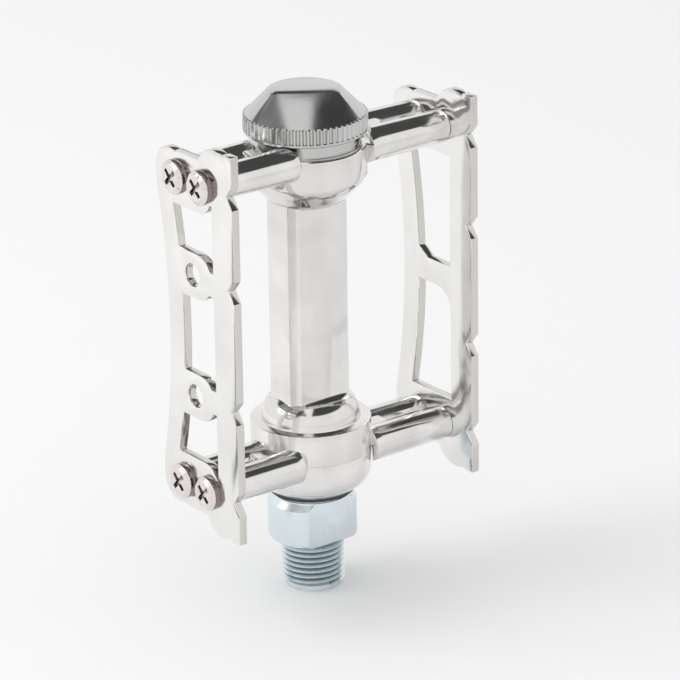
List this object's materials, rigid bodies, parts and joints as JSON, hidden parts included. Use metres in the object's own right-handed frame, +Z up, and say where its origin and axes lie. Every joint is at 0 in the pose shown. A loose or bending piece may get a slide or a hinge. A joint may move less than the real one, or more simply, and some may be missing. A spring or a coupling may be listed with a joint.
{
  "type": "track pedal",
  "caption": "Single-sided bicycle track pedal: forged barrel body, bolted toothed cage plates, loose-ball bearings, knurled dust cap and threaded spindle.",
  "frame": {"origin": "centre of the spindle's threaded end face, on which the pedal stands in the picture", "axes": "+Z up the spindle towards the dust cap, +X towards the toothed shoe side, -Y towards the plate with the toe clip holes"},
  "size_m": [0.0324, 0.0712, 0.1179],
  "materials": {
    "zinc_steel": "bright zinc plated",
    "race_steel": "ground",
    "ball_steel": "polished",
    "polished_alloy": "polished",
    "plate_alloy": "bright anodised",
    "cap_steel": "polished with a knurled rim",
    "screw_steel": "polished",
    "seal_rubber": "matte"
  },
  "bodies": {
    "spindle_set": {"spindle": "zinc_steel", "outer_cone": "race_steel", "lock_washer": "race_steel", "lock_nut": "race_steel"},
    "pedal": {"pedal_body": "polished_alloy", "inner_cup": "race_steel", "outer_cup": "race_steel", "inner_dust_cover": "polished_alloy", "inner_seal": "seal_rubber", "dust_cap": "cap_steel", "front_cage_plate": "plate_alloy", "rear_cage_plate": "plate_alloy", "screw_front_1": "screw_steel", "screw_front_2": "screw_steel", "screw_front_3": "screw_steel", "screw_front_4": "screw_steel", "screw_rear_1": "screw_steel", "screw_rear_2": "screw_steel", "screw_rear_3": "screw_steel", "screw_rear_4": "screw_steel"},
    "inner_balls": {"inner_ball_ring": "ball_steel"},
    "outer_balls": {"outer_ball_ring": "ball_steel"}
  },
  "joints": [
    {"name": "pedal_spin", "type": "hinge", "parent": "spindle_set", "child": "pedal", "pos_m": [0, 0, 0.0689], "axis": [0, 0, 1], "continuous": true},
    {"name": "inner_balls_roll", "type": "hinge", "parent": "spindle_set", "child": "inner_balls", "pos_m": [0, 0, 0.0352], "axis": [0, 0, 1], "continuous": true},
    {"name": "outer_balls_roll", "type": "hinge", "parent": "spindle_set", "child": "outer_balls", "pos_m": [0, 0, 0.1012], "axis": [0, 0, 1], "continuous": true}
  ],
  "couplings": [
    {"joint": "inner_balls_roll", "follows": "pedal_spin", "ratio": 0.5888},
    {"joint": "outer_balls_roll", "follows": "pedal_spin", "ratio": 0.5888}
  ]
}
